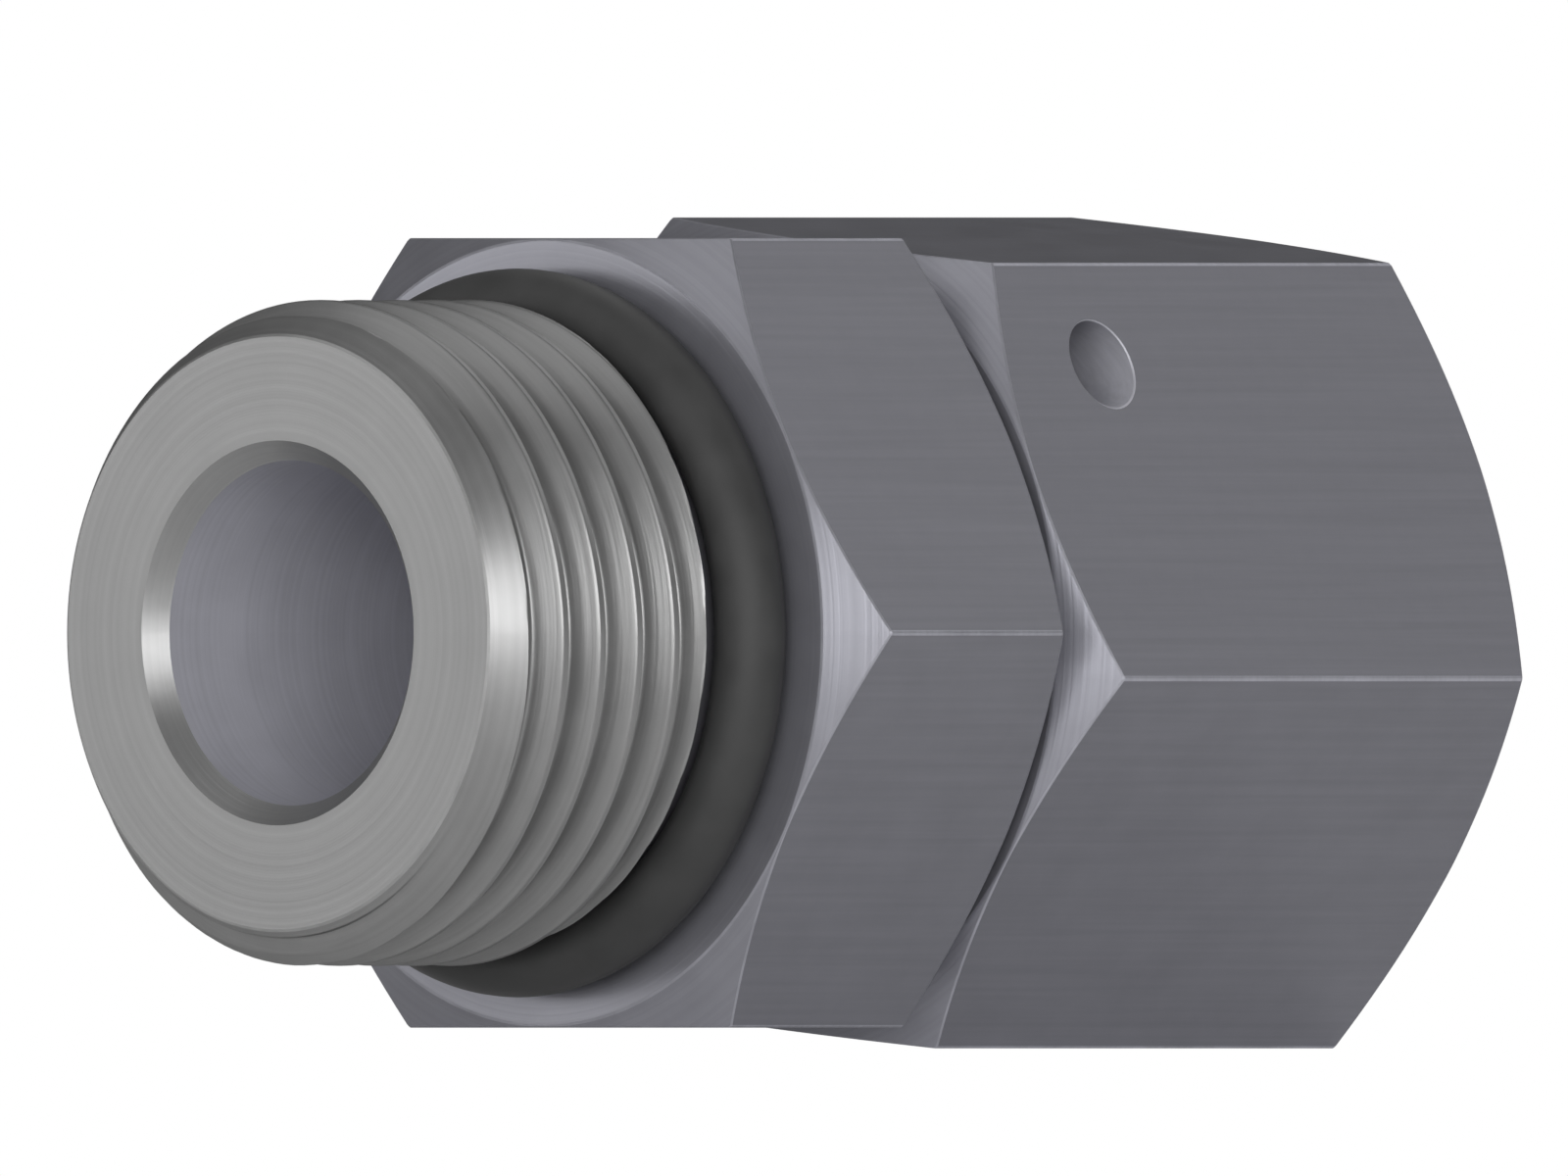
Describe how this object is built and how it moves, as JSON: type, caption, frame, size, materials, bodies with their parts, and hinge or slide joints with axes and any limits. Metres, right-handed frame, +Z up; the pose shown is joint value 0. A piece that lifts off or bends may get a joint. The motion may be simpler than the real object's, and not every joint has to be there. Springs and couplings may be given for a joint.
{
  "type": "straight thread adapter fitting with swivel nut",
  "caption": "Straight hydraulic adapter: a male O-ring stud thread on one end and a free-turning hexagon nut over a sealing cone on the other, with a bore right through.",
  "frame": {"origin": "on the axis of the bore, in the plane of the hexagon face that comes down on the port", "axes": "+X along the axis from the stud to the swivel nut, +Z up, with a flat of the body's hexagon downwards as the fitting lies on a bench"},
  "size_m": [0.0545, 0.037, 0.0336],
  "materials": {
    "plated_steel_body": "bright zinc plating over turned and milled steel, satin",
    "plated_steel_nut": "bright zinc plating over milled steel, satin",
    "nitrile_rubber": "matt black rubber",
    "spring_wire": "drawn spring wire"
  },
  "bodies": {
    "adapter": {"adapter_body": "plated_steel_body", "stud_o_ring": "nitrile_rubber", "cone_o_ring": "nitrile_rubber"},
    "nut": {"swivel_nut": "plated_steel_nut", "retaining_wire": "spring_wire"}
  },
  "joints": [
    {"name": "nut_spin", "type": "hinge", "parent": "adapter", "child": "nut", "pos_m": [0.02, 0, 0], "axis": [1, 0, 0], "continuous": true}
  ]
}
